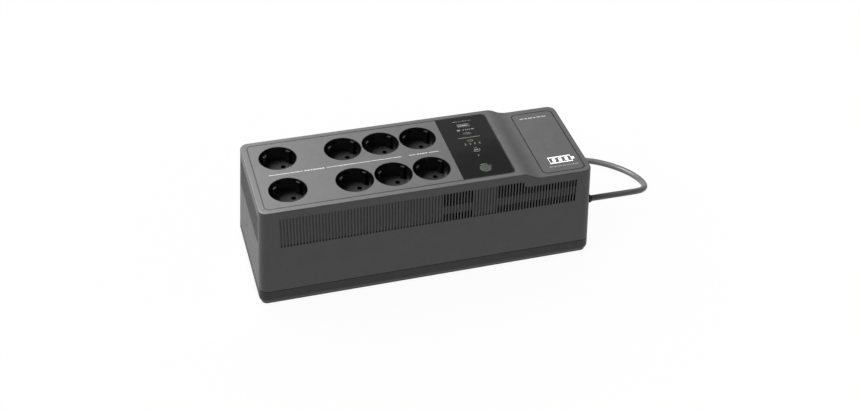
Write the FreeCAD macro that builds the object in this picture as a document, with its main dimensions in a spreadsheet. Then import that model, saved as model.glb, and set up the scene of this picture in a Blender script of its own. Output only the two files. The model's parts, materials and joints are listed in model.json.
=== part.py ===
import FreeCAD, Part
import math
import os
import Sketcher
from FreeCAD import Placement, Rotation, Vector

# Desktop uninterruptible power supply with eight earthed outlets on its top face.
# Frame: origin on the floor under the middle of the base, +X along the length towards the cord,
# +Y to the back, +Z up. Millimetres.

doc = FreeCAD.newDocument("uninterruptible_power_supply")
sheet = doc.addObject("Spreadsheet::Sheet", "Dims")

DIMENSIONS = {
    # Casing envelope: a block that draws in evenly towards its top.
    "base_length": 370.4,
    "base_depth": 135.0,
    "total_height": 120.2,
    "top_inset": 6.2,
    "corner_radius": 9.0,
    "wall": 2.5,
    "foot_gap": 1.6,
    "tray_top": 19.2,
    "seam_gap": 0.6,
    "lip_height": 4.0,
    "edge_round": 1.2,
    "base_round": 8.0,
    # Lower platform at the cord end.
    "step_drop": 7.3,
    "step_crest": 102.6,
    "step_foot": 116.6,
    "crest_round": 18.0,
    "foot_round": 30.0,
    # Outlets: one apart at the left, then a close group, in two rows.
    "first_outlet": -143.6,
    "group_start": -73.35,
    "outlet_pitch": 41.45,
    "row_spacing": 55.23,
    "well_radius": 19.8,
    "rim_radius": 20.3,
    "cup_radius": 20.6,
    "well_depth": 17.5,
    "well_floor": 2.4,
    "pin_offset": 9.5,
    "pin_hole_radius": 2.7,
    # Top plates.
    "plate_thick": 2.2,
    "plates_left": -171.8,
    "plates_split": 36.9,
    "plates_right": 93.2,
    "plates_depth": 108.8,
    "plate_gap": 1.0,
    "plates_seam": 0.2,
    "ledge": 4.0,
    "end_plate_left": 125.9,
    "end_plate_right": 172.6,
    # Fluted band round the front and left walls.
    "flute_pitch": 3.33,
    "flute_width": 1.8,
    "flute_depth": 1.5,
    "vent_width": 2.0,
    "first_flute": -158.8,
    "band_low": 75.2,
    "band_high": 110.6,
    "vent_low_top": 83.8,
    "vent_high_bottom": 93.8,
    "tops_drop_from": 100.4,
    "tops_drop_to": 105.0,
    # Control panel furniture.
    "panel_mid": 64.9,
    "button_radius": 6.1,
    "button_mid_y": -40.7,
    "button_travel": 1.0,
    "light_pitch": 5.27,
    "light_mid_y": 4.1,
    "light_width": 1.6,
    "light_length": 4.0,
    "usb_a_mid_y": 39.1,
    "usb_c_mid_y": 24.0,
    # Battery and its sliding door in the underside.
    "battery_length": 151.0,
    "battery_depth": 94.0,
    "battery_height": 65.0,
    "battery_mid_x": -89.5,
    "door_left": -166.5,
    "door_right": -12.5,
    "door_front": -50.0,
    "door_thick": 2.2,
    "door_tongue": 1.4,
    "door_play": 0.3,
    # Supply cord.
    "cord_radius": 3.5,
    "cord_exit_y": -16.0,
    "cord_exit_z": 33.6,
    "coil_mid_x": 95.0,
    "coil_mid_y": 129.0,
    "coil_turn_radius": 42.0,
    "coil_layers": 3.0,
    "plug_mid_x": 46.0,
    # Reset button of the circuit breaker.
    "breaker_y": 22.0,
    "breaker_z": 40.2,
    "breaker_radius": 4.0,
    "breaker_travel": 3.0,
}
for row, (alias, value) in enumerate(DIMENSIONS.items(), start=1):
    sheet.set(f"A{row}", alias)
    sheet.set(f"B{row}", str(value))
    sheet.setAlias(f"B{row}", alias)
doc.recompute()

sub_parts = []


def val(alias):
    return float(sheet.get(alias))


def bind(obj, **formulas):
    """Bind properties to the sheet. $name in a formula is the sheet's cell of that name."""
    for prop, formula in formulas.items():
        obj.setExpression(prop, str(formula).replace("$", "Dims."))
    return obj


def put(obj, x=0, y=0, z=0, turn=None):
    """Place an object by three formulas, after an optional turn (axis, degrees)."""
    if turn:
        obj.Placement = Placement(Vector(), Rotation(Vector(*turn[0]), turn[1]))
    for axis, formula in (("x", x), ("y", y), ("z", z)):
        obj.setExpression(f"Placement.Base.{axis}", str(formula).replace("$", "Dims."))
    return obj


def node(obj, label):
    """Name an object as one of the delivered sub-parts."""
    obj.Label = label
    sub_parts.append(obj)
    return obj


def box(length, depth, height, x, y, z):
    """A block whose middle stands at x, y with its underside at z."""
    block = bind(doc.addObject("Part::Box", "box"), Length=length, Width=depth, Height=height)
    return put(block, f"({x}) - ({length}) / 2", f"({y}) - ({depth}) / 2", z)


def rod(radius, height, x=0, y=0, z=0, turn=None):
    """A cylinder that stands on x, y, z, or lies after a turn."""
    shaft = bind(doc.addObject("Part::Cylinder", "rod"), Radius=radius, Height=height)
    return put(shaft, x, y, z, turn)


def cone(low_radius, high_radius, height, x=0, y=0, z=0, turn=None):
    taper = bind(doc.addObject("Part::Cone", "cone"), Radius1=low_radius, Radius2=high_radius, Height=height)
    return put(taper, x, y, z, turn)


def fuse(*shapes):
    if len(shapes) == 1:
        return shapes[0]
    union = doc.addObject("Part::MultiFuse", "fuse")
    union.Shapes = list(shapes)
    return union


def cut(base, *tools):
    difference = doc.addObject("Part::Cut", "cut")
    difference.Base = base
    difference.Tool = fuse(*tools)
    return difference


def common(*shapes):
    overlap = doc.addObject("Part::MultiCommon", "common")
    overlap.Shapes = list(shapes)
    return overlap


def group(*shapes):
    """Separate solids that belong to one sub-part."""
    together = doc.addObject("Part::Compound", "group")
    together.Links = list(shapes)
    return together


def plain(name, shape):
    """A Part::Feature for a shape that has no primitive of its own."""
    feature = doc.addObject("Part::Feature", name)
    feature.Shape = shape
    feature.Placement = Placement()
    return feature


def edges_where(feature, test):
    doc.recompute()
    return [f"Edge{i}" for i, edge in enumerate(feature.Shape.Edges, start=1) if test(edge)]


def climbs(edge):
    """True for the edges that join the bottom face to the top face."""
    return abs(edge.Vertexes[0].Z - edge.Vertexes[-1].Z) > 1


def lies_at(edge, level):
    return all(abs(vertex.Z - level) < 0.01 for vertex in edge.Vertexes)


def round_edges(body, base, test, radius):
    fillet = body.newObject("PartDesign::Fillet", "rounding")
    fillet.Base = (base, edges_where(base, test))
    bind(fillet, Radius=radius)
    body.Tip = fillet
    return fillet


def envelope(low, high, inset, bottom_round=None, top_round=None):
    """The casing's tapered outline between two heights, drawn in by inset all round."""
    body = doc.addObject("PartDesign::Body", "envelope")
    wedge = body.newObject("PartDesign::AdditiveWedge", "taper")
    wedge.Placement = Placement(Vector(), Rotation(Vector(1, 0, 0), 90))

    def half(side, height):
        return f"($base_{side} / 2 - $top_inset * ({height}) / $total_height - ({inset}))"

    bind(wedge, Ymin=low, Ymax=high)
    bind(wedge, Xmin="-" + half("length", low), Xmax=half("length", low))
    bind(wedge, Zmin="-" + half("depth", low), Zmax=half("depth", low))
    bind(wedge, X2min="-" + half("length", high), X2max=half("length", high))
    bind(wedge, Z2min="-" + half("depth", high), Z2max=half("depth", high))
    tip = round_edges(body, wedge, climbs, f"$corner_radius - ({inset})")
    doc.recompute()
    heights = [vertex.Z for vertex in tip.Shape.Vertexes]
    for radius, level in ((bottom_round, min(heights)), (top_round, max(heights))):
        if radius:
            tip = round_edges(body, tip, lambda edge: lies_at(edge, level), radius)
    return body


def plate(length, depth, thick, x, y, z, radius):
    """A flat plate with rounded corners: a sketched rectangle, padded and filleted."""
    body = doc.addObject("PartDesign::Body", "plate")
    sketch = body.newObject("Sketcher::SketchObject", "outline")
    plane = [f for f in body.Origin.OriginFeatures if f.Role == "XY_Plane"][0]
    sketch.AttachmentSupport = (plane, [""])
    sketch.MapMode = "FlatFace"
    corners = [Vector(-9, -9, 0), Vector(9, -9, 0), Vector(9, 9, 0), Vector(-9, 9, 0)]
    for i, corner in enumerate(corners):
        sketch.addGeometry(Part.LineSegment(corner, corners[(i + 1) % 4]), False)
    for i in range(4):
        sketch.addConstraint(Sketcher.Constraint("Coincident", i, 2, (i + 1) % 4, 1))
        sketch.addConstraint(Sketcher.Constraint("Vertical" if i % 2 else "Horizontal", i))
    sketch.addConstraint(Sketcher.Constraint("Symmetric", 0, 1, 2, 1, -1, 1))
    for name, line in (("length", 0), ("depth", 1)):
        index = sketch.addConstraint(Sketcher.Constraint("Distance", line, 18.0))
        sketch.renameConstraint(index, name)
    bind(sketch, **{"Constraints.length": length, "Constraints.depth": depth})
    pad = body.newObject("PartDesign::Pad", "thickness")
    pad.Profile = sketch
    bind(pad, Length=thick)
    round_edges(body, pad, climbs, radius)
    return put(body, x, y, z)


# --- Casing -----------------------------------------------------------------------------------

HALF_TURN_X = ((0, 1, 0), 90)      # stands a rod along +X
LEFT_TURN_X = ((0, 1, 0), -90)     # stands a rod along -X
LEAN = math.degrees(math.atan(val("top_inset") / val("total_height")))
POST_SPOTS = [(-172.5, 52), (-172.5, -52), (-2, 55.2), (-2, -55.2), (172, 52), (172, -52)]
OUTLETS = [("$first_outlet", 1)] + [(f"$group_start + {i} * $outlet_pitch", i + 2) for i in range(3)]
ROWS = [("front", "-$row_spacing / 2"), ("back", "$row_spacing / 2")]
VENT_GROUPS = (range(52, 62), range(70, 97))


def wall_x(height):
    """Half the casing's length at a height, as a formula."""
    return f"($base_length / 2 - $top_inset * ({height}) / $total_height)"


def upper_step(inset):
    """Everything above the cord end's lower platform, sunk by inset, as one prism.

    The slope between the two levels runs into each of them over an arc.
    """
    run = val("step_foot") - val("step_crest")
    slope = math.atan(val("step_drop") / run)
    shift = inset * math.tan(slope / 2)
    high = val("total_height") - inset
    low = high - val("step_drop")
    crest = Vector(val("step_crest") - shift, -90, high)
    foot = Vector(val("step_foot") - shift, -90, low)
    downhill = (foot - crest).normalize()
    level = Vector(1, 0, 0)
    outline = []

    def bend(corner, before, after, radius, side):
        """Add an arc that turns from one direction to the next at a corner."""
        reach = radius * math.tan(slope / 2)
        enter = corner - before * reach
        leave = corner + after * reach
        normal = (before + after).cross(Vector(0, 1, 0)).normalize()
        middle = corner + normal * side * (radius / math.cos(slope / 2) - radius)
        outline.append((enter, Part.Arc(enter, middle, leave).toShape(), leave))

    bend(crest, level, downhill, val("crest_round"), -1)
    bend(foot, downhill, level, val("foot_round"), 1)
    start, crest_arc, slope_top = outline[0]
    slope_bottom, foot_arc, end = outline[1]
    roof = Vector(0, 0, 10)
    far = Vector(200, -90, low)
    edges = [Part.makeLine(start + roof, start), crest_arc, Part.makeLine(slope_top, slope_bottom),
             foot_arc, Part.makeLine(end, far), Part.makeLine(far, Vector(200, -90, start.z + 10)),
             Part.makeLine(Vector(200, -90, start.z + 10), start + roof)]
    return plain("platform_space", Part.Face(Part.Wire(edges)).extrude(Vector(0, 180, 0)))


def flute_cutters(width, depth, spans, indices):
    """Upright cutters in the leaning front wall, one for each flute index and height span.

    The band's upper edge drops by the step's height a little before the step itself.
    """
    cutters = []
    for i in indices:
        x = val("first_flute") + i * val("flute_pitch")
        share = (x - val("tops_drop_from")) / (val("tops_drop_to") - val("tops_drop_from"))
        lowered = val("step_drop") * min(max(share, 0), 1)
        for low, high in spans:
            high = high - lowered if high == val("band_high") else high
            y = -val("base_depth") / 2 + val("top_inset") * low / val("total_height")
            cutter = Part.makeBox(width, 2 * depth, high - low)
            cutter.translate(Vector(x - width / 2, -depth, 0))
            cutter.rotate(Vector(), Vector(1, 0, 0), -LEAN)
            cutter.translate(Vector(0, y, low))
            cutters.append(cutter)
    return cutters


def end_flutes():
    """The same shallow flutes on the left end wall."""
    cutters = []
    low = val("band_low")
    x = -val("base_length") / 2 + val("top_inset") * low / val("total_height")
    for i in range(-15, 16):
        cutter = Part.makeBox(2 * val("flute_depth"), val("flute_width"), val("band_high") - low)
        cutter.translate(Vector(-val("flute_depth"), -val("flute_width") / 2, 0))
        cutter.rotate(Vector(), Vector(0, 1, 0), LEAN)
        cutter.translate(Vector(x, i * val("flute_pitch"), low))
        cutters.append(cutter)
    return cutters


def rim_rounded(block):
    """Round the edge where the walls meet the top, the step and the lower platform."""
    low = val("total_height") - val("step_drop") - 0.1

    def on_rim(edge):
        middle = edge.valueAt((edge.FirstParameter + edge.LastParameter) / 2)
        return all(vertex.Z > low for vertex in edge.Vertexes) and (abs(middle.y) > 45 or abs(middle.x) > 160)

    rounding = doc.addObject("Part::Fillet", "rim_rounding")
    rounding.Base = block
    size = val("edge_round")
    rounding.Edges = [(int(name[4:]), size, size) for name in edges_where(block, on_rim)]
    return rounding


def mirrored_to_back(shapes):
    return [shape.mirror(Vector(), Vector(0, 1, 0)) for shape in shapes]


full_band = [(val("band_low"), val("band_high"))]
vent_rows = [(val("band_low"), val("vent_low_top")), (val("vent_high_bottom"), val("band_high"))]
vent_indices = [i for span in VENT_GROUPS for i in span]
flutes = flute_cutters(val("flute_width"), val("flute_depth"), full_band, range(97)) + end_flutes()
vents = flute_cutters(val("vent_width"), 8.0, vent_rows, vent_indices)
flutes_tool = plain("flute_cutters", Part.makeCompound(flutes))
vents_tool = plain("vent_cutters", Part.makeCompound(vents + mirrored_to_back(vents)))

# Upper housing: a hollow shell, open below, with the step, the plate recesses and posts.
housing_low = "$tray_top + $seam_gap"
outer = rim_rounded(cut(envelope(housing_low, "$total_height", 0), upper_step(0)))
inner = cut(envelope("$tray_top", "$total_height - $wall", "$wall"), upper_step(val("wall")))
shell = cut(outer, inner)
POST_FOOT = 7.2


def post(x, y):
    """A screw post from the tray's boss up to the housing's roof."""
    roof = "$total_height - $step_drop" if x > val("step_foot") else "$total_height"
    return rod(3.8, f"{roof} - $wall / 2 - {POST_FOOT}", x, y, POST_FOOT)


posts = fuse(*[post(x, y) for x, y in POST_SPOTS])
plates_length = "($plates_right - $plates_left)"
plates_mid = "(($plates_right + $plates_left) / 2)"
recess_z = "$total_height - $plate_thick"
end_mid = "(($end_plate_left + $end_plate_right) / 2)"
end_length = "($end_plate_right - $end_plate_left)"
platform_z = "$total_height - $step_drop"
housing_cuts = [
    plate(f"{plates_length} + 2 * $plate_gap", "$plates_depth + 2 * $plate_gap", 10,
          plates_mid, 0, recess_z, 5),
    box(f"{plates_length} - 2 * $ledge", "$plates_depth - 2 * $ledge", 20, plates_mid, 0, "$total_height - 15"),
    plate(f"{end_length} + 2 * $plate_gap", "$plates_depth + 2 * $plate_gap", 10, end_mid, -1,
          f"{platform_z} - 1.2", 5.6),
    rod(6.0, 16, "$base_length / 2 - 12", "$cord_exit_y", "$cord_exit_z", HALF_TURN_X),
    rod(6.0, 16, "$base_length / 2 - 12", "$breaker_y", "$breaker_z", HALF_TURN_X),
]
pilots = [rod(1.55, 16, x, y, 6) for x, y in POST_SPOTS]
node(cut(fuse(shell, posts), flutes_tool, vents_tool, *housing_cuts, *pilots), "upper_housing")

# Base tray: floor, low wall with a lip that steps inside the housing, screw bosses, standoffs.
STANDOFFS = [(12, -44), (12, 44), (78, -44), (78, 44)]
tray_outer = envelope("$foot_gap", "$tray_top", 0, bottom_round="$base_round")
tray_lip = envelope("$foot_gap + 1", "$tray_top + $lip_height", "$wall + 0.2")
tray_inner = envelope("$foot_gap + $wall", "$tray_top + $lip_height + 2", "$wall + 1.7")
bosses = [rod(4.6, "7.1 - $foot_gap", x, y, "$foot_gap") for x, y in POST_SPOTS]
standoffs = [rod(3.2, "16 - $foot_gap", x, y, "$foot_gap") for x, y in STANDOFFS]
basin = cut(fuse(tray_outer, tray_lip), tray_inner)
door_mid = "(($door_left + $door_right) / 2)"
door_length = "($door_right - $door_left)"
DOOR_REACH = 140                    # from the door's front edge past the tray's back wall


def door_space(grow):
    """The door's room: a throat, and a wider channel above it for the tongues."""
    y = f"$door_front + {DOOR_REACH} / 2 - ({grow})"
    low = box(f"{door_length} + 2 * ({grow})", DOOR_REACH, 1.5, door_mid, y, 0)
    high = box(f"{door_length} + 2 * ($door_tongue + {grow})", DOOR_REACH,
               f"$foot_gap + $door_thick + {grow} - 1.5", door_mid, y, 1.5)
    return low, high


tray_tools = list(door_space(0.3))
tray_tools.append(box(f"{door_length} - 3", "$battery_depth + 2", 10, door_mid, 0, 0))
tray_tools.append(box(f"{door_length} + 0.6", 20, 9.6, door_mid, "$base_depth / 2 + 4", 0))
tray_tools += [rod(3.4, 3, x, y, "$foot_gap") for x, y in POST_SPOTS]
tray_tools += [rod(1.8, 10, x, y, "$foot_gap") for x, y in POST_SPOTS]
FEET = [(sx * 173.0, sy * 30.0) for sx in (-1, 1) for sy in (-1, 1)]
tray_tools += [box(6.4, 26.4, 0.8, x, y, "$foot_gap") for x, y in FEET]
node(cut(fuse(basin, *bosses, *standoffs), *tray_tools), "base_tray")
node(group(*[plate(6, 26, "$foot_gap + 0.8", x, y, 0, 2.5) for x, y in FEET]), "rubber_feet")


def screw(x, y):
    return fuse(rod(3.1, 2.0, x, y, "$foot_gap + 1"), rod(1.5, 13, x, y, "$foot_gap + 3"))


node(group(*[screw(x, y) for x, y in POST_SPOTS]), "housing_screws")

# Battery door: the tray's own outline inside the door's room, hollowed behind its floor.
door_skin = envelope("$foot_gap", "$tray_top", 0, bottom_round="$base_round")
door_body = common(door_skin, fuse(
    box(door_length, DOOR_REACH, 1.5, door_mid, f"$door_front + {DOOR_REACH} / 2", 0),
    box(f"{door_length} + 2 * $door_tongue", DOOR_REACH, "$foot_gap + $door_thick - 1.5",
        door_mid, f"$door_front + {DOOR_REACH} / 2", 1.5),
    box(door_length, 20, 9.3, door_mid, "$base_depth / 2 + 4.3", 0)))
door_hollow = box(200, 60, 10, door_mid, "$base_depth / 2 - $wall - 31", "$foot_gap + $door_thick")
node(cut(door_body, door_hollow), "battery_door")

# --- Top plates -------------------------------------------------------------------------------

def top_plate(left, right):
    """The piece between two positions of the outline that the two top plates share."""
    outline = plate(plates_length, "$plates_depth", "$plate_thick", plates_mid, 0, recess_z, 4.4)
    span = box(f"({right}) - ({left})", 150, 10, f"(({right}) + ({left})) / 2", 0, "$total_height - 5")
    return common(outline, span)


# Outlet faceplate with one round opening for each outlet.
face = top_plate("$plates_left", "$plates_split - $plates_seam")
openings = [rod("$rim_radius + 0.05", 6, x, y, "$total_height - 4") for x, n in OUTLETS for row, y in ROWS]
node(cut(face, *openings), "outlet_faceplate")


def outlet(x, y, name):
    """One outlet: a moulded cup, its earth strap and its two contact tubes, turned 45 degrees."""
    depth = "$well_depth"
    cup = fuse(rod("$cup_radius", f"{depth} + $well_floor - $plate_thick", z=f"-{depth} - $well_floor"),
               rod("$rim_radius", "$plate_thick", z="-$plate_thick"))
    well = cut(cup, rod("$well_radius", 20, z=f"-{depth}"))
    keys = []
    for side in (-1, 1):
        keys.append(box(3.0, 4.4, f"{depth} - 2.4", f"{side} * ($well_radius - 0.8)", 0, f"-{depth}"))
    holes = [rod("$pin_hole_radius", 8, f"{side} * $pin_offset", 0, f"-{depth} - 5") for side in (-1, 1)]
    slots = [box(5.6, 2.6, 8, 0, f"{side} * 17.6", f"-{depth} - 5") for side in (-1, 1)]
    moulding = node(cut(fuse(well, *keys), *holes, *slots), f"outlet_{name}")

    strap_z = f"-{depth} - $well_floor - 1"
    legs = [box(5, 0.8, 17, 0, f"{side} * 17.6", strap_z) for side in (-1, 1)]
    ridges = [rod(1.1, 5, -2.5, f"{side} * 17", -5.5, HALF_TURN_X) for side in (-1, 1)]
    strap = node(fuse(box(5, 36, 1, 0, 0, strap_z), *legs, *ridges), f"earth_clip_{name}")

    tube_z = f"-{depth} - $well_floor - 10"
    tubes = [cut(rod(3.6, 10, f"{side} * $pin_offset", 0, tube_z),
                 rod(2.45, 9, f"{side} * $pin_offset", 0, f"{tube_z} + 1")) for side in (-1, 1)]
    contacts = node(group(*tubes), f"contacts_{name}")
    for piece in (moulding, strap, contacts):
        put(piece, x, y, "$total_height", turn=((0, 0, 1), 45))


for row, y in ROWS:
    for x, number in OUTLETS:
        outlet(x, y, f"{row}_{number}")


def busbars(side):
    """A strip under each row that joins the contacts on one side of the pins."""
    offset = f"{side} * $pin_offset / sqrt(2)"
    strips = []
    for row, y in ROWS:
        x = f"($first_outlet + $group_start + 2 * $outlet_pitch) / 2 + {offset}"
        length = "$group_start + 2 * $outlet_pitch - $first_outlet + 8"
        strips.append(box(length, 5, 1, x, f"{y} + {offset}", "$total_height - $well_depth - $well_floor - 11"))
    return group(*strips)


node(busbars(1), "live_busbars")
node(busbars(-1), "neutral_busbars")

# Control panel: a glossy plate with openings, on four pegs down to its circuit board.
panel_middle = "(($plates_right + $plates_split) / 2)"
board_top = "$total_height - 12.4"
panel = top_plate("$plates_split", "$plates_right")
pegs = [rod(2, "12.4 - $plate_thick + 0.2", x, y, board_top) for x in (45, 85) for y in (-46, 46)]
LIGHTS = [f"$panel_mid + {i} * $light_pitch" for i in (-1.5, -0.5, 0.5, 1.5)]
panel_holes = [rod("$button_radius + 0.15", 6, "$panel_mid", "$button_mid_y", "$total_height - 4")]
panel_holes += [plate("$light_width + 0.1", "$light_length + 0.1", 6, x, "$light_mid_y", "$total_height - 4", 0.75)
                for x in LIGHTS]
panel_holes += [plate(13.8, 6.2, 6, "$panel_mid", "$usb_a_mid_y", "$total_height - 4", 0.5)]
panel_holes += [plate(9.5, 3.7, 6, "$panel_mid", "$usb_c_mid_y", "$total_height - 4", 1.7)]
node(cut(fuse(panel, *pegs), *panel_holes), "control_panel")
node(plate("44", "100", 1.6, panel_middle, 0, "$total_height - 14", 1.0), "panel_board")
node(group(*[plate("$light_width", "$light_length", 12.4, x, "$light_mid_y", board_top, 0.7) for x in LIGHTS]),
     "light_pipes")

# Power button: a round cap with a flange that stops it under the panel, over its switch.
cap = rod("$button_radius", 5.6, "$panel_mid", "$button_mid_y", "$total_height - 5.4")
flange = rod("$button_radius + 1.2", 1.5, "$panel_mid", "$button_mid_y", "$total_height - $plate_thick - 1.9")
node(fuse(cap, flange), "power_button")
node(fuse(box(12, 12, 3.4, "$panel_mid", "$button_mid_y", board_top),
          rod(2.2, 2.2, "$panel_mid", "$button_mid_y", f"{board_top} + 3.4")), "power_switch")

# USB receptacles that stand on the board behind the panel.
usb_a = cut(plate(13.4, 5.8, 12.2, "$panel_mid", "$usb_a_mid_y", board_top, 0.4),
            plate(12.7, 5.1, 14, "$panel_mid", "$usb_a_mid_y", f"{board_top} + 1", 0.2))
usb_c = cut(plate(9.2, 3.4, 12.2, "$panel_mid", "$usb_c_mid_y", board_top, 1.6),
            plate(8.6, 2.8, 14, "$panel_mid", "$usb_c_mid_y", f"{board_top} + 1", 1.3))
node(usb_a, "usb_a_shell")
node(usb_c, "usb_c_shell")
node(group(box(11.1, 1.9, 10, "$panel_mid", "$usb_a_mid_y + 1.2", f"{board_top} + 1"),
           box(6.6, 0.7, 10, "$panel_mid", "$usb_c_mid_y", f"{board_top} + 1")), "usb_tongues")

node(plate(end_length, "$plates_depth", 1.2, end_mid, -1, f"{platform_z} - 1.2", 5.0), "end_plate")

# --- Inside -----------------------------------------------------------------------------------

inside_floor = "$foot_gap + $wall"
battery_case = plate("$battery_length", "$battery_depth", "$battery_height",
                     "$battery_mid_x", 0, "$foot_gap + $wall + 0.2", 2)
node(battery_case, "battery")
tab_x = "$battery_mid_x + $battery_length / 2 - 9"
tab_z = "$foot_gap + $wall + 0.2 + $battery_height"
node(group(*[fuse(box(9, 6.3, 0.8, tab_x, y, tab_z), box(0.8, 6.3, 7, f"{tab_x} + 4.1", y, tab_z))
             for y in (-32, 32)]), "battery_terminals")

node(box(72, 100, 1.6, 45, 0, 16), "main_board")
BOARD_Z = 17.6
node(group(*[box(19, 15.5, 15.5, 20, y, BOARD_Z) for y in (-34, -14, 6)]), "relays")
node(group(*[rod(9, 26, 46, y, BOARD_Z) for y in (-36, -14)], rod(6.2, 20, 46, 6, BOARD_Z)), "capacitors")
heat_base = box(3, 78, 34, 62, -4, BOARD_Z)
fins = [box(12, 1.6, 34, 68.5, -41 + 7.4 * i, BOARD_Z) for i in range(11)]
node(fuse(heat_base, *fins), "heatsink")
node(group(*[box(4.6, 10.2, 20, 58.2, y, BOARD_Z) for y in (-32, -12, 8, 24)]), "power_transistors")

# Transformer: a stack of laminations with two windows, its winding and a strap.
CORE_X = 120
CORE_Z = 6.0
core_block = box(36, 92, 76, CORE_X, 0, CORE_Z)
windows = [box(40, 15, 46, CORE_X, side * 23.5, CORE_Z + 15) for side in (-1, 1)]
node(cut(core_block, *windows), "transformer_core")
winding_outer = plate(64, 61.4, 45.6, CORE_X, 0, CORE_Z + 15.2, 5)
node(cut(winding_outer, box(36, 32, 60, CORE_X, 0, CORE_Z + 5)), "transformer_winding")
strap_outer = box(30, 95.4, 79, CORE_X, 0, inside_floor)
strap_inner = box(32, 92.2, 77.4 + 0.5, CORE_X, 0, inside_floor)
strap_feet = [box(30, 12, 1.6, CORE_X, side * 52, inside_floor) for side in (-1, 1)]
node(fuse(cut(strap_outer, strap_inner), *strap_feet), "transformer_strap")

# Circuit breaker in the cord end: body inside the wall, collar through it, reset button.
collar = rod(5.9, 9, f"{wall_x('$breaker_z')} - 8", "$breaker_y", "$breaker_z", HALF_TURN_X)
case = box(18, 16, 20, f"{wall_x('$breaker_z')} - 16.5", "$breaker_y", "$breaker_z - 10")
bore = rod("$breaker_radius + 0.3", 16, f"{wall_x('$breaker_z')} - 12", "$breaker_y", "$breaker_z", HALF_TURN_X)
node(cut(fuse(collar, case), bore), "circuit_breaker")
node(rod("$breaker_radius", 10, f"{wall_x('$breaker_z')} - 8.4", "$breaker_y", "$breaker_z", HALF_TURN_X),
     "reset_button")

# --- Supply cord ------------------------------------------------------------------------------

RUN_SHARE = 0.45


def tube_along(points, radius):
    """A round tube along straight runs joined by the largest tangent arcs that they allow."""
    path = []
    start = points[0]
    bends = []
    for before, corner, after in zip(points, points[1:], points[2:]):
        back = (before - corner)
        ahead = (after - corner)
        reach = RUN_SHARE * min(back.Length, ahead.Length)
        half_turn = (math.pi - back.getAngle(ahead)) / 2
        bend = reach / math.tan(half_turn)
        bends.append(round(bend, 1))
        back.normalize()
        ahead.normalize()
        enter = corner + back * reach
        leave = corner + ahead * reach
        inward = (back + ahead).normalize()
        middle = corner + inward * (bend / math.cos(half_turn) - bend)
        path.append(Part.LineSegment(start, enter).toShape())
        path.append(Part.Arc(enter, middle, leave).toShape())
        start = leave
    path.append(Part.LineSegment(start, points[-1]).toShape())
    wire = Part.Wire(path)
    section = Part.Wire(Part.makeCircle(radius, points[0], points[1] - points[0]))
    tube = wire.makePipeShell([section], True, False)
    ideal = math.pi * radius ** 2 * wire.Length
    print("cord length", round(wire.Length, 1), "bend radii", bends, "volume ratio",
          round(tube.Volume / ideal, 4))
    return tube


wall_at_exit = val("base_length") / 2 - val("top_inset") * val("cord_exit_z") / val("total_height")
FLOOR_LINE = val("cord_radius") + 0.2
COIL_FRONT = val("coil_mid_y") - val("coil_turn_radius")
LEAD_ROUTE = [
    (wall_at_exit - 6, val("cord_exit_y"), val("cord_exit_z")),
    (212.6, -16.2, 33.8),
    (247.6, -15, 32.4),
    (279, -3, 22),
    (292, 27, 9),
    (282, 61, FLOOR_LINE),
    (249, 89, FLOOR_LINE),
    (208, 96, FLOOR_LINE),
    (166, 93, FLOOR_LINE),
    (129, COIL_FRONT + 1.5, FLOOR_LINE),
    (val("coil_mid_x"), COIL_FRONT, FLOOR_LINE),
]
COIL_TOP_LINE = FLOOR_LINE + (val("coil_layers") - 1) * 2 * val("cord_radius")
PLUG_LINE = 19.2
TAIL_ROUTE = [
    (val("coil_mid_x"), COIL_FRONT, COIL_TOP_LINE),
    (70, COIL_FRONT + 0.3, COIL_TOP_LINE + 0.9),
    (val("plug_mid_x"), COIL_FRONT, PLUG_LINE),
]
radius = val("cord_radius")
tubes = [tube_along([Vector(*point) for point in route], radius) for route in (LEAD_ROUTE, TAIL_ROUTE)]
node(plain("cord_runs", Part.makeCompound(tubes)), "cord")

coil_height = "2 * $coil_layers * $cord_radius"
coil_low = 0.2
node(cut(rod("$coil_turn_radius + $cord_radius", coil_height, "$coil_mid_x", "$coil_mid_y", coil_low),
         rod("$coil_turn_radius - 3 * $cord_radius", "40", "$coil_mid_x", "$coil_mid_y", -5)), "cord_coil")

# Strain relief: a tapered sleeve with a collar each side of the wall.
relief_x = wall_x("$cord_exit_z")
sleeve = fuse(
    rod(5.9, 6, f"{relief_x} - 5", "$cord_exit_y", "$cord_exit_z", HALF_TURN_X),
    cone(6.6, 5.0, 20, f"{relief_x} + 0.6", "$cord_exit_y", "$cord_exit_z", HALF_TURN_X),
    rod(8, 2, f"{relief_x} - 6", "$cord_exit_y", "$cord_exit_z", HALF_TURN_X))
sleeve_bore = rod("$cord_radius + 0.1", 40, f"{relief_x} - 12", "$cord_exit_y", "$cord_exit_z", HALF_TURN_X)
node(cut(sleeve, sleeve_bore), "strain_relief")

# Plug: a round earthed plug that lies on the floor beside the coil, pins away from the coil.
plug_y = "$coil_mid_y - $coil_turn_radius"
plug_rear = cone(4.6, 9.5, 16, "$plug_mid_x", plug_y, PLUG_LINE, LEFT_TURN_X)
plug_grip = cone(14, 18.4, 8, "$plug_mid_x - 16", plug_y, PLUG_LINE, LEFT_TURN_X)
plug_face = rod(18.4, 16, "$plug_mid_x - 24", plug_y, PLUG_LINE, LEFT_TURN_X)
plug_body = fuse(plug_rear, plug_grip, plug_face)
earth_notches = [box(18, 7, 4, "$plug_mid_x - 34", plug_y, f"{PLUG_LINE} + {z}") for z in (-18.6, 14.6)]
node(cut(plug_body, *earth_notches), "plug")
node(group(*[rod(2.4, 19, "$plug_mid_x - 40", f"{plug_y} + {side} * $pin_offset", PLUG_LINE, LEFT_TURN_X)
             for side in (-1, 1)]), "plug_pins")

# --- Checks and output ------------------------------------------------------------------------

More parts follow.
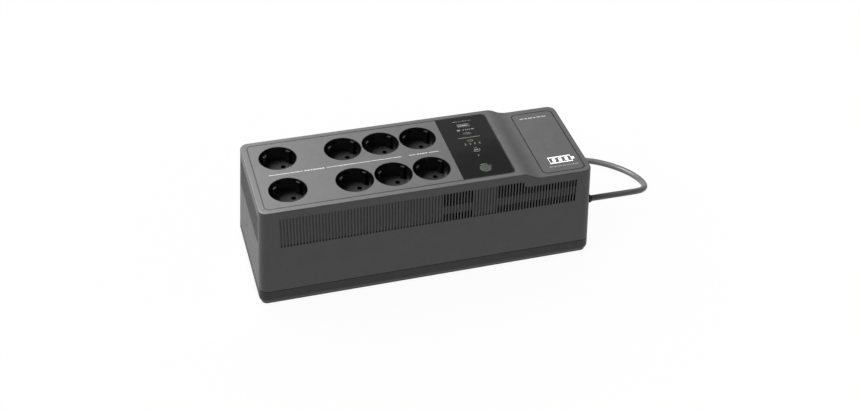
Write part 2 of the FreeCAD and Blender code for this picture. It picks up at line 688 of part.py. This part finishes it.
doc.recompute()
for obj in doc.Objects:
    if "Invalid" in obj.State or "Error" in obj.State:
        raise RuntimeError(f"{obj.Name} ({obj.Label}) failed: {obj.State}")
for part in sub_parts:
    if part.Shape.isNull() or not part.Shape.isValid():
        raise RuntimeError(f"{part.Label} has no valid shape")
os.makedirs("parts", exist_ok=True)
for part in sub_parts:
    part.Shape.exportStep(f"parts/{part.Label}.step")
    size = part.Shape.BoundBox
    print(f"{part.Label:22s} solids {len(part.Shape.Solids)} x {size.XMin:.1f}..{size.XMax:.1f}"
          f" y {size.YMin:.1f}..{size.YMax:.1f} z {size.ZMin:.1f}..{size.ZMax:.1f}")
print(len(sub_parts), "sub-parts")
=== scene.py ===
import json
import math

import bmesh
import bpy
from mathutils import Matrix, Vector


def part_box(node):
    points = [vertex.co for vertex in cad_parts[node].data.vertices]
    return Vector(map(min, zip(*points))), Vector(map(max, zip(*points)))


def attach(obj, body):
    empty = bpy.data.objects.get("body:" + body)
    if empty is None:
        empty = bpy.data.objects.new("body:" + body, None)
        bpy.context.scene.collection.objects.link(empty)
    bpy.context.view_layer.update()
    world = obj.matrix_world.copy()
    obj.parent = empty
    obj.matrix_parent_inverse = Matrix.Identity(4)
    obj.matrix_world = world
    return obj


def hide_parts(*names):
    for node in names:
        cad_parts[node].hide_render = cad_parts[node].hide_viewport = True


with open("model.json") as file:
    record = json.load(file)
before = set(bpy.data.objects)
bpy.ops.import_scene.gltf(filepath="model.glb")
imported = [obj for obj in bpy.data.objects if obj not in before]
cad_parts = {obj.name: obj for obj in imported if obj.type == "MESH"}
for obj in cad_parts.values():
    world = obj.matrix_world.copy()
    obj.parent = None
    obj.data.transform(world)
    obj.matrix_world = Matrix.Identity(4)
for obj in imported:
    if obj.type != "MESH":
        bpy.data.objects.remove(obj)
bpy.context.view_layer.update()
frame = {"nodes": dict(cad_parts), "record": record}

MM = 0.001
nodes = frame["nodes"]
scene = bpy.context.scene


# --- Camera -----------------------------------------------------------------------------------

AZIMUTH, ELEVATION, ROLL = (math.radians(a) for a in (-17.73, 38.94, 2.45))
CAMERA_PLACE = Vector((-0.3149, -1.0421, 0.9312))
SENSOR_WIDTH = 36.0
LENS = 53.33


def make_camera():
    """The camera in front, to the left and above, tilted a little about its own axis."""
    back = Vector((math.sin(AZIMUTH) * math.cos(ELEVATION),
                   -math.cos(AZIMUTH) * math.cos(ELEVATION), math.sin(ELEVATION)))
    level = Vector((math.cos(AZIMUTH), math.sin(AZIMUTH), 0))
    upright = back.cross(level)
    right = math.cos(ROLL) * level + math.sin(ROLL) * upright
    up = -math.sin(ROLL) * level + math.cos(ROLL) * upright
    camera = bpy.data.objects.new("camera", bpy.data.cameras.new("camera"))
    camera.data.sensor_width = SENSOR_WIDTH
    camera.data.lens = LENS
    camera.data.clip_start = 0.05
    camera.data.clip_end = 20
    camera.matrix_world = Matrix.Translation(CAMERA_PLACE) @ Matrix((right, up, back)).transposed().to_4x4()
    scene.collection.objects.link(camera)
    scene.camera = camera


make_camera()


# --- Materials --------------------------------------------------------------------------------

def srgb(level, tint=(1.0, 1.0, 1.0)):
    """A grey given as a display level from 0 to 255, as linear red, green and blue."""
    shade = level / 255
    linear = shade / 12.92 if shade <= 0.04045 else ((shade + 0.055) / 1.055) ** 2.4
    return tuple(linear * t for t in tint)


class Shader:
    """A principled material whose nodes are added one by one."""

    def __init__(self, name, color, roughness, metallic=0.0, coat=0.0, specular=0.5):
        self.material = bpy.data.materials.new(name)
        self.material.use_nodes = True
        self.tree = self.material.node_tree
        self.main = self.tree.nodes["Principled BSDF"]
        self.color = color
        self.set("Base Color", (*color, 1))
        self.set("Roughness", roughness)
        self.set("Metallic", metallic)
        self.set("Coat Weight", coat)
        self.set("Coat Roughness", 0.06)
        self.set("Specular IOR Level", specular)
        self.roughness = roughness
        self.place = self.tree.nodes.new("ShaderNodeTexCoord").outputs["Object"]
        self.last_bump = None

    def set(self, socket, value):
        self.main.inputs[socket].default_value = value

    def link(self, source, target):
        self.tree.links.new(source, target)

    def noise(self, scale, detail=3.0, roughness=0.5, stretch=None):
        texture = self.tree.nodes.new("ShaderNodeTexNoise")
        texture.inputs["Scale"].default_value = scale
        texture.inputs["Detail"].default_value = detail
        texture.inputs["Roughness"].default_value = roughness
        source = self.place
        if stretch:
            mapping = self.tree.nodes.new("ShaderNodeMapping")
            mapping.inputs["Scale"].default_value = stretch
            self.link(self.place, mapping.inputs["Vector"])
            source = mapping.outputs["Vector"]
        self.link(source, texture.inputs["Vector"])
        return texture.outputs["Fac"]

    def ramp(self, factor, stops):
        node = self.tree.nodes.new("ShaderNodeValToRGB")
        ramp = node.color_ramp
        while len(ramp.elements) < len(stops):
            ramp.elements.new(0.5)
        for element, (position, color) in zip(ramp.elements, stops):
            element.position = position
            element.color = (*color, 1)
        self.link(factor, node.inputs["Fac"])
        return node.outputs["Color"]

    def mottle(self, scale, spread, detail=3.0):
        """Colour that wanders a little round its mean."""
        low, high = (tuple(c * (1 + s * spread) for c in self.color) for s in (-1, 1))
        mixed = self.ramp(self.noise(scale, detail), [(0.3, low), (0.7, high)])
        self.link(mixed, self.main.inputs["Base Color"])
        return self

    def uneven(self, scale, spread):
        """Roughness that wanders a little round its mean."""
        mapper = self.tree.nodes.new("ShaderNodeMapRange")
        mapper.inputs["From Min"].default_value = 0.3
        mapper.inputs["From Max"].default_value = 0.7
        mapper.inputs["To Min"].default_value = self.roughness - spread
        mapper.inputs["To Max"].default_value = self.roughness + spread
        self.link(self.noise(scale), mapper.inputs["Value"])
        self.link(mapper.outputs["Result"], self.main.inputs["Roughness"])
        return self

    def grain(self, scale, strength, depth=0.0001, detail=2.0, stretch=None):
        """Fine relief, given by the grain's frequency per metre and its depth in metres."""
        bump = self.tree.nodes.new("ShaderNodeBump")
        bump.inputs["Strength"].default_value = strength
        bump.inputs["Distance"].default_value = depth
        self.link(self.noise(scale, detail, stretch=stretch), bump.inputs["Height"])
        if self.last_bump:
            self.link(self.last_bump, bump.inputs["Normal"])
        self.link(bump.outputs["Normal"], self.main.inputs["Normal"])
        self.last_bump = bump.outputs["Normal"]
        return self


def moulded(name, color, roughness=0.5, grain=1400, relief=0.5, specular=0.4):
    """Textured matte moulding: spark-eroded grain, faint mottling and uneven sheen."""
    shader = Shader(name, color, roughness, specular=specular)
    shader.mottle(60, 0.05).uneven(260, 0.05)
    return shader.grain(grain, relief, 0.00012).material


def glossy(name, color, roughness=0.08, coat=0.6):
    """Polished moulding with the faint waviness of a moulded face."""
    shader = Shader(name, color, roughness, coat=coat)
    shader.mottle(35, 0.04).uneven(90, 0.02)
    return shader.grain(45, 0.15, 0.0002, detail=1.0).material


def metal(name, color, roughness=0.25, brushed=(900, 900, 40)):
    """Metal with fine lines drawn along one direction."""
    shader = Shader(name, color, roughness, metallic=1.0)
    shader.mottle(200, 0.06).uneven(500, 0.06)
    return shader.grain(1.0, 0.25, 0.00005, stretch=brushed).material


def outlet_black():
    """Polished walls, and floors round the pins painted paler where they face up: painted light for the
    lamp's light on the wells' floors.
    """
    shader = Shader("outlet_black", srgb(9), 0.16)
    facing = shader.tree.nodes.new("ShaderNodeNewGeometry").outputs["Normal"]
    split = shader.tree.nodes.new("ShaderNodeSeparateXYZ")
    shader.link(facing, split.inputs["Vector"])
    # Up-facing faces painted paler: painted light on the wells' floors.
    painted_lit_floor = shader.ramp(split.outputs["Z"], [(0.9, srgb(9)), (0.99, srgb(38))])
    shader.link(painted_lit_floor, shader.main.inputs["Base Color"])
    shader.uneven(120, 0.02)
    return shader.grain(300, 0.1, 0.00005).material


CASING = srgb(61)
TRAY = srgb(27)
MATERIALS = {
    "casing_grey": moulded("casing_grey", CASING),
    "tray_black": moulded("tray_black", TRAY),
    "clip_metal": metal("clip_metal", srgb(140), 0.2),
    # Brass darkened far below brass's own tone: painted shade for the contacts deep in the pin holes.
    "contact_brass": metal("contact_brass", (0.05, 0.037, 0.02), 0.6),
    "panel_gloss": glossy("panel_gloss", srgb(8), 0.04, 0.0),
    "button_green": glossy("button_green", (0.034, 0.044, 0.034), 0.3, 0.0),
    "light_green": glossy("light_green", (0.048, 0.074, 0.028), 0.25, 0.0),
    "switch_black": moulded("switch_black", srgb(34), 0.45),
    "plug_black": moulded("plug_black", srgb(38), 0.5, 900),
    "cord_sheath": moulded("cord_sheath", srgb(76), 0.42, 500, 0.25),
    "shell_steel": metal("shell_steel", srgb(215), 0.28),
    "trim_white": moulded("trim_white", srgb(100), 0.5, 2500, 0.2),
    "reset_black": moulded("reset_black", srgb(30), 0.35),
    "board_green": glossy("board_green", (0.008, 0.03, 0.012), 0.35, 0.0),
    "relay_black": moulded("relay_black", srgb(36), 0.4),
    "capacitor_sleeve": glossy("capacitor_sleeve", (0.012, 0.014, 0.03), 0.2, 0.3),
    "heatsink_black": moulded("heatsink_black", srgb(44), 0.4, 900, 0.3),
    "transistor_black": moulded("transistor_black", srgb(28), 0.5),
    "core_iron": metal("core_iron", srgb(60), 0.5, (2600, 5, 5)),
    "winding_tape": glossy("winding_tape", (0.05, 0.03, 0.014), 0.35, 0.2),
    "battery_case": moulded("battery_case", srgb(60), 0.45, 500),
    "foot_rubber": moulded("foot_rubber", srgb(30), 0.8, 700),
    "pin_chrome": metal("pin_chrome", srgb(205), 0.14),
    "outlet_black": outlet_black(),
}

for subpart in frame["record"]["subparts"]:
    mesh = nodes[subpart["node"]].data
    mesh.materials.clear()
    mesh.materials.append(MATERIALS[subpart["material_slot"]])


# --- Helpers for new pieces ---------------------------------------------------------------------

def piece(name, build, slot, body, material=None, smooth_angle=35):
    """A new mesh piece: build fills a bmesh in the row's frame, in metres."""
    shape = bmesh.new()
    build(shape)
    bmesh.ops.remove_doubles(shape, verts=shape.verts, dist=1e-7)
    bmesh.ops.recalc_face_normals(shape, faces=shape.faces)
    mesh = bpy.data.meshes.new(name)
    shape.to_mesh(mesh)
    shape.free()
    obj = bpy.data.objects.new(name, mesh)
    scene.collection.objects.link(obj)
    mesh.materials.append(material or MATERIALS[slot])
    mesh.shade_smooth()
    mesh.set_sharp_from_angle(angle=math.radians(smooth_angle))
    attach(obj, body)
    return obj


def lathe(shape, profile, place, axis, segments=48):
    """Turns (distance along, radius) pairs about an axis through place."""
    direction = Vector(axis).normalized()
    side = direction.orthogonal().normalized()
    other = direction.cross(side)
    rings = []
    for along, radius in profile:
        middle = Vector(place) + direction * along
        if radius < 1e-9:
            rings.append([shape.verts.new(middle)])
            continue
        ring = []
        for k in range(segments):
            turn = 2 * math.pi * k / segments
            ring.append(shape.verts.new(middle + radius * (math.cos(turn) * side + math.sin(turn) * other)))
        rings.append(ring)
    for ring, following in zip(rings, rings[1:]):
        for k in range(segments):
            corners = [ring[k % len(ring)], ring[(k + 1) % len(ring)],
                       following[(k + 1) % len(following)], following[k % len(following)]]
            unique = list(dict.fromkeys(corners))
            if len(unique) > 2:
                shape.faces.new(unique)


# --- Supply cord --------------------------------------------------------------------------------

CORD_RADIUS = 3.5 * MM
FLOOR_LINE = 3.7 * MM           # the cord's middle where it lies on the floor
coil_low, coil_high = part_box("cord_coil")
COIL_MIDDLE = (coil_low + coil_high) / 2
OUTER_TURN = (coil_high.x - coil_low.x) / 2 - CORD_RADIUS
INNER_TURN = OUTER_TURN - 2 * CORD_RADIUS
COIL_FRONT = COIL_MIDDLE.y - OUTER_TURN
LAYERS = [FLOOR_LINE + k * 2 * CORD_RADIUS for k in range(3)]
PLUG_LINE = 19.2 * MM           # the plug's axis above the floor
PLUG_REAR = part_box("plug")[1].x
LEAD_ROUTE = [
    (183.5, -16, 33.6), (212.6, -16.2, 33.8), (247.6, -15, 32.4), (279, -3, 22), (292, 27, 9),
    (282, 61, 3.7), (249, 89, 3.7), (208, 96, 3.7), (166, 93, 3.7), (129, 88.5, 3.7),
]
CORD_EXIT = Vector(LEAD_ROUTE[0]) * MM
POINTS_PER_TURN = 20
TURN_PLAN = [(OUTER_TURN, LAYERS[0]), (INNER_TURN, LAYERS[0]), (INNER_TURN, LAYERS[1]),
             (OUTER_TURN, LAYERS[1]), (OUTER_TURN, LAYERS[2])]
CHANGE_SHARE = 0.22             # the last share of a turn, where it moves to the next turn's place


def coil_points():
    """Turns wound from the outside in, then up and out again, a diameter apart."""
    points = []
    for k in range(len(TURN_PLAN) * POINTS_PER_TURN + 1):
        turn, share = divmod(k / POINTS_PER_TURN, 1.0)
        radius, height = TURN_PLAN[min(int(turn), len(TURN_PLAN) - 1)]
        following = TURN_PLAN[min(int(turn) + 1, len(TURN_PLAN) - 1)]
        change = max(0.0, (share - 1 + CHANGE_SHARE) / CHANGE_SHARE)
        ease = change * change * (3 - 2 * change)
        radius += (following[0] - radius) * ease
        height += (following[1] - height) * ease
        angle = -math.pi / 2 - 2 * math.pi * share
        points.append(Vector((COIL_MIDDLE.x + radius * math.cos(angle),
                              COIL_MIDDLE.y + radius * math.sin(angle), height)))
    return points


def make_cord():
    """One curve from the housing round the cord end, through the coil and into the plug."""
    route = [Vector(p) * MM for p in LEAD_ROUTE] + coil_points()
    route.append(Vector((70 * MM, COIL_FRONT + 0.3 * MM, LAYERS[2] + 0.9 * MM)))
    route.append(Vector((PLUG_REAR - 2 * MM, COIL_FRONT, PLUG_LINE)))
    curve = bpy.data.curves.new("supply_cord", "CURVE")
    curve.dimensions = "3D"
    curve.bevel_depth = CORD_RADIUS
    curve.bevel_resolution = 8
    curve.use_fill_caps = True
    spline = curve.splines.new("NURBS")
    spline.points.add(len(route) - 1)
    for point, place in zip(spline.points, route):
        point.co = (*place, 1)
    spline.order_u = 3
    spline.use_endpoint_u = True
    spline.resolution_u = 10
    cord = bpy.data.objects.new("supply_cord", curve)
    scene.collection.objects.link(cord)
    curve.materials.append(MATERIALS["cord_sheath"])
    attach(cord, "casing")
    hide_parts("cord", "cord_coil")
    return cord


def relief_sleeve(shape):
    """A tapered sleeve with flex rings cut into it, hollow round the cord."""
    start, tip = CORD_EXIT.x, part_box("strain_relief")[1].x
    bore = CORD_RADIUS + 0.05 * MM
    profile = [(-5 * MM, bore), (-5 * MM, 5.9 * MM), (0.2 * MM, 5.9 * MM), (0.3 * MM, 7.4 * MM),
               (2.4 * MM, 7.4 * MM)]
    rings = 5
    first, last = 3.2 * MM, tip - start - 2.2 * MM
    for k in range(rings):
        x = first + (last - first) * k / (rings - 1)
        radius = (6.4 - 1.7 * k / (rings - 1)) * MM
        profile += [(x - 0.55 * MM, radius - 0.9 * MM), (x - 0.4 * MM, radius),
                    (x + 1.5 * MM, radius - 0.1 * MM), (x + 1.65 * MM, radius - 1.0 * MM)]
    profile += [(tip - start, CORD_RADIUS + 0.7 * MM), (tip - start, bore), (-5 * MM, bore)]
    lathe(shape, profile, CORD_EXIT, (1, 0, 0), 56)


def coil_tie(shape):
    """A narrow strap wrapped once round the coil's turns."""
    place = Vector((COIL_MIDDLE.x + (OUTER_TURN + INNER_TURN) / 2, COIL_MIDDLE.y, 0))
    half = 2 * CORD_RADIUS + 0.6 * MM
    top = LAYERS[2] + CORD_RADIUS + 0.6 * MM
    corner = 3.0 * MM
    steps = 6
    outline = []
    for cx, cz, start in ((half - corner, top - corner, 0), (-half + corner, top - corner, 90),
                          (-half + corner, corner, 180), (half - corner, corner, 270)):
        for k in range(steps + 1):
            angle = math.radians(start + 90 * k / steps)
            outline.append((cx + corner * math.cos(angle), cz + corner * math.sin(angle)))
    thickness = 0.7 * MM
    loops = []
    for inset, width in ((0, 4.8 * MM), (0, -4.8 * MM), (thickness, -4.8 * MM), (thickness, 4.8 * MM)):
        ring = []
        for x, z in outline:
            across = x * (1 - inset / half)
            height = top / 2 + (z - top / 2) * (1 - inset / (top / 2))
            ring.append(shape.verts.new(place + Vector((across, width, height))))
        loops.append(ring)
    for a, b in zip(loops, loops[1:] + loops[:1]):
        for k in range(len(outline)):
            n = (k + 1) % len(outline)
            shape.faces.new((a[k], a[n], b[n], b[k]))


cord = make_cord()
sleeve = piece("strain_relief_sleeve", relief_sleeve, "switch_black", "casing")
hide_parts("strain_relief")
tie = piece("coil_tie", coil_tie, "switch_black", "casing")


# --- Printed marks ------------------------------------------------------------------------------

INK_DEPTH = 0.06                # how far a mark is sunk into what it is printed on, mm
INK_HEIGHT = 0.03
PANEL_INK = moulded("panel_ink", srgb(98), 0.5, 2500, 0.2)
WHITE_INK = moulded("white_ink", srgb(225), 0.5, 2500, 0.2)
RULE_INK = moulded("rule_ink", srgb(140), 0.5, 2500, 0.2)
SYMBOL_INK = moulded("symbol_ink", srgb(12), 0.5, 2500, 0.2)


def middle(name):
    """The middle of a node's box, in millimetres."""
    low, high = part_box(name)
    return (low + high) / (2 * MM)


def ribbon(shape, points, width, level, closed=False):
    """A printed stroke of even width along points, given in millimetres at one level."""
    count = len(points)
    rings = []
    for k, point in enumerate(points):
        before = points[k - 1] if closed or k else point
        after = points[(k + 1) % count] if closed or k < count - 1 else point
        run = (Vector(after) - Vector(before)).normalized()
        side = Vector((-run.y, run.x)) * width / 2
        place = Vector(point)
        low, high = level - INK_DEPTH, level + INK_HEIGHT
        corners = [(place + side, low), (place - side, low), (place - side, high), (place + side, high)]
        rings.append([shape.verts.new(Vector((spot.x, spot.y, z)) * MM) for spot, z in corners])
    following = rings[1:] + rings[:1] if closed else rings[1:]
    for ring, onward in zip(rings, following):
        for k in range(4):
            shape.faces.new((ring[k], ring[(k + 1) % 4], onward[(k + 1) % 4], onward[k]))
    if not closed:
        shape.faces.new(rings[0])
        shape.faces.new(rings[-1])


def arc(x, y, radius, start, end, squeeze=1.0, steps=28):
    """Points along an arc from one angle to another, in degrees."""
    angles = [math.radians(start + (end - start) * k / steps) for k in range(steps + 1)]
    return [(x + radius * math.cos(a), y + squeeze * radius * math.sin(a)) for a in angles]


def box_outline(x, y, length, depth):
    return [(x - length / 2, y - depth / 2), (x + length / 2, y - depth / 2),
            (x + length / 2, y + depth / 2), (x - length / 2, y + depth / 2)]


def dashes(shape, start, y, lengths, gap, width, level):
    """A row of short bars, standing for a line of small print."""
    x = start
    for length in lengths:
        ribbon(shape, [(x, y), (x + length, y)], width, level)
        x += length + gap
    return x


def panel_marks(shape):
    """The rules, the small pictures of a plug, a battery and a lamp, and the dots."""
    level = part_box("control_panel")[1].z / MM
    usb_a, usb_c, lights = middle("usb_a_shell"), middle("usb_c_shell"), middle("light_pipes")
    mid = lights.x
    dashes(shape, mid - 10, usb_a.y + 7.6, (5.5, 3, 6, 3.5), 0.9, 0.55, level)
    row = (usb_a.y + usb_c.y) / 2 - 1.1
    ribbon(shape, [(mid - 9.7, row), (mid - 6.5, row)], 2.3, level)
    ribbon(shape, [(mid - 6.5, row + 0.6), (mid - 5.4, row + 0.6)], 0.4, level)
    ribbon(shape, [(mid - 6.5, row - 0.6), (mid - 5.4, row - 0.6)], 0.4, level)
    dashes(shape, mid - 3.1, row, (1.5, 1.5, 1.2, 1.2, 2.8), 1.1, 1.5, level)
    dashes(shape, mid - 12.5, usb_c.y - 7.9, (24.5,), 0, 0.65, level)
    ribbon(shape, box_outline(mid - 1.2, lights.y + 6.0, 5.0, 2.6), 0.45, level, closed=True)
    ribbon(shape, [(mid + 1.5, lights.y + 6.0), (mid + 2.3, lights.y + 6.0)], 1.3, level)
    low = lights.y - 11.4
    ribbon(shape, [(mid - 1.4, low + 3.5), (mid + 2.4, low + 3.5)], 0.5, level)
    ribbon(shape, [(mid - 1.8, low), (mid + 2.8, low)], 1.5, level)
    ribbon(shape, arc(mid + 0.5, low, 4.1, 195, 345, 0.8), 0.5, level)
    ribbon(shape, arc(mid + 0.5, low, 4.1, -20, 30, 0.8), 0.5, level)
    ribbon(shape, [(mid - 0.7, lights.y - 21.3), (mid + 0.7, lights.y - 21.3)], 1.2, level)


def button_marks(shape):
    """A power symbol on the cap."""
    button = middle("power_button")
    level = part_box("power_button")[1].z / MM
    ribbon(shape, arc(button.x, button.y, 2.9, 125, 415), 0.8, level)
    ribbon(shape, [(button.x, button.y + 0.9), (button.x, button.y + 3.8)], 0.8, level)


def painted_ring_gap_highlight(shape):
    """Thin pale arcs on the panel round the button: a painted highlight for the light caught by the ring
    gap's edge.
    """
    button = middle("power_button")
    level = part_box("control_panel")[1].z / MM
    ribbon(shape, arc(button.x, button.y, 7.5, 55, 125), 0.5, level)
    ribbon(shape, arc(button.x, button.y, 7.5, 15, 35), 0.5, level)


def faceplate_marks(shape):
    """The rule between the two rows of outlets, broken where the real plate is lettered."""
    low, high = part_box("outlet_faceplate")
    level = high.z / MM
    left = low.x / MM
    y = -0.3
    width = 0.9
    dashes(shape, left + 13.4, y, (36,), 0, width, level)
    dashes(shape, left + 51.2, y, (2.2, 2.8, 1.8, 3.2, 2.0, 2.6, 2.2), 0.7, 1.6, level)
    dashes(shape, left + 74.6, y, (81.2,), 0, width, level)
    dashes(shape, left + 164.4, y, (7,), 0, width, level)
    dashes(shape, left + 173, y, (2.4, 1.8, 2.8, 2.2), 0.7, 1.6, level)
    dashes(shape, left + 186, y, (11.4,), 0, width, level)


def end_plate_dashes(shape):
    """Two rows of dashes, where the real plate is lettered."""
    low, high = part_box("end_plate")
    left, level = low.x / MM, high.z / MM
    dashes(shape, left + 7.5, high.y / MM - 9.0, (4.2, 3.2, 4.8, 2.6, 4.4, 5.0), 1.3, 1.3, level)
    dashes(shape, left + 9.5, low.y / MM + 8.7, (4, 3, 5, 3.5, 4.5, 3, 4), 1.0, 0.6, level)


def battery_picture(shape):
    """A plain picture of a battery."""
    low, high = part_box("end_plate")
    x, y, level = low.x / MM + 25.5, low.y / MM + 19.5, high.z / MM
    ribbon(shape, box_outline(x, y, 25, 9.8), 1.4, level, closed=True)
    ribbon(shape, [(x + 13.3, y), (x + 15.8, y)], 4.0, level)
    for k in range(3):
        ribbon(shape, [(x - 7.2 + 7.2 * k, y - 2.9), (x - 7.2 + 7.2 * k, y + 2.9)], 3.4, level)


def rounded_outline(low, high, grow, radius):
    """The corners' arcs of a box's outline, grown outward, in millimetres."""
    turn = radius + grow
    left, right = low.x / MM + radius, high.x / MM - radius
    front, back = low.y / MM + radius, high.y / MM - radius
    return (arc(right, front, turn, -90, 0, steps=6) + arc(right, back, turn, 0, 90, steps=6)
            + arc(left, back, turn, 90, 180, steps=6) + arc(left, front, turn, 180, 270, steps=6))


def groove_shade_strips(shape):
    """Black strips in the grooves round the plates, painted shade for the grooves' shadowed depth, with a
    thin lip over the grooves' edges.
    """
    low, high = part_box("outlet_faceplate")[0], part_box("control_panel")[1]
    outline = rounded_outline(low, high, 0.5, 4.4)
    ribbon(shape, outline, 1.4, high.z / MM, closed=True)
    low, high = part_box("end_plate")
    outline = rounded_outline(low, high, 0.5, 5.0)
    ribbon(shape, outline, 1.3, high.z / MM, closed=True)


# Black strips in the plate grooves: painted shade.
piece("groove_shade_strips", groove_shade_strips, "foot_rubber", "casing", SYMBOL_INK)
piece("panel_marks", panel_marks, "trim_white", "casing", PANEL_INK)
# Pale arcs round the button: a painted highlight on the ring gap.
piece("painted_ring_gap_highlight", painted_ring_gap_highlight, "trim_white", "casing", PANEL_INK)
piece("button_marks", button_marks, "switch_black", "power_button", SYMBOL_INK)
piece("faceplate_marks", faceplate_marks, "trim_white", "casing", RULE_INK)
piece("end_plate_dashes", end_plate_dashes, "trim_white", "casing", RULE_INK)
piece("battery_picture", battery_picture, "trim_white", "casing", WHITE_INK)


# --- Floor and light ----------------------------------------------------------------------------

def make_floor():
    """A white table that glows a little, so that it carries only faint shadows."""
    mesh = bpy.data.meshes.new("floor")
    half = 8.0
    corners = [(-half, -half, 0), (half, -half, 0), (half, half, 0), (-half, half, 0)]
    mesh.from_pydata(corners, [], [(0, 1, 2, 3)])
    floor = bpy.data.objects.new("floor", mesh)
    scene.collection.objects.link(floor)
    shader = Shader("floor_white", (0.25, 0.25, 0.25), 0.9, specular=0.0)
    shader.set("Emission Color", (1, 1, 1, 1))
    shader.set("Emission Strength", 0.92)
    mesh.materials.append(shader.material)
    return floor


def area_light(name, place, aim, size, power):
    light = bpy.data.lights.new(name, "AREA")
    light.shape = "RECTANGLE"
    light.size, light.size_y = size
    light.energy = power
    lamp = bpy.data.objects.new(name, light)
    lamp.location = place
    lamp.rotation_euler = (Vector(aim) - Vector(place)).to_track_quat("-Z", "Y").to_euler()
    scene.collection.objects.link(lamp)
    return lamp


CEILING_AXIS = (0.328, 0.0, 0.945)      # the middle of the studio's dim ceiling
CEILING_EDGE = 0.650                    # cosine of its half width
CEILING_LEVEL = 0.31
WALL_LEVEL = 0.50


def make_world():
    """A white backdrop, with walls and a dimmer ceiling that only light and gloss see."""
    world = bpy.data.worlds.new("studio")
    world.use_nodes = True
    scene.world = world
    tree = world.node_tree
    backdrop = tree.nodes["Background"]
    backdrop.inputs["Color"].default_value = (1, 1, 1, 1)
    direction = tree.nodes.new("ShaderNodeTexCoord")
    height = tree.nodes.new("ShaderNodeVectorMath")
    height.operation = "DOT_PRODUCT"
    height.inputs[1].default_value = CEILING_AXIS
    tree.links.new(direction.outputs["Generated"], height.inputs[0])
    level = tree.nodes.new("ShaderNodeMapRange")
    level.interpolation_type = "SMOOTHSTEP"
    level.inputs["From Min"].default_value = CEILING_EDGE - 0.004
    level.inputs["From Max"].default_value = CEILING_EDGE + 0.004
    level.inputs["To Min"].default_value = WALL_LEVEL
    level.inputs["To Max"].default_value = CEILING_LEVEL
    tree.links.new(height.outputs["Value"], level.inputs["Value"])
    room = tree.nodes.new("ShaderNodeBackground")
    tree.links.new(level.outputs["Result"], room.inputs["Strength"])
    path = tree.nodes.new("ShaderNodeLightPath")
    mix = tree.nodes.new("ShaderNodeMixShader")
    tree.links.new(path.outputs["Is Camera Ray"], mix.inputs["Fac"])
    tree.links.new(room.outputs["Background"], mix.inputs[1])
    tree.links.new(backdrop.outputs["Background"], mix.inputs[2])
    tree.links.new(mix.outputs["Shader"], tree.nodes["World Output"].inputs["Surface"])


def make_lights(floor):
    """One large lamp to the left and a little behind, which spares the floor."""
    make_world()
    key = area_light("key_left", (-0.53, 0.50, 1.12), (-0.02, 0, 0.06), (0.7, 0.7), 56)
    spared = bpy.data.collections.new("spared_by_key")
    spared.objects.link(floor)
    key.light_linking.receiver_collection = spared
    spared.collection_objects[0].light_linking.link_state = "EXCLUDE"


scene.view_settings.view_transform = "Standard"
make_lights(make_floor())
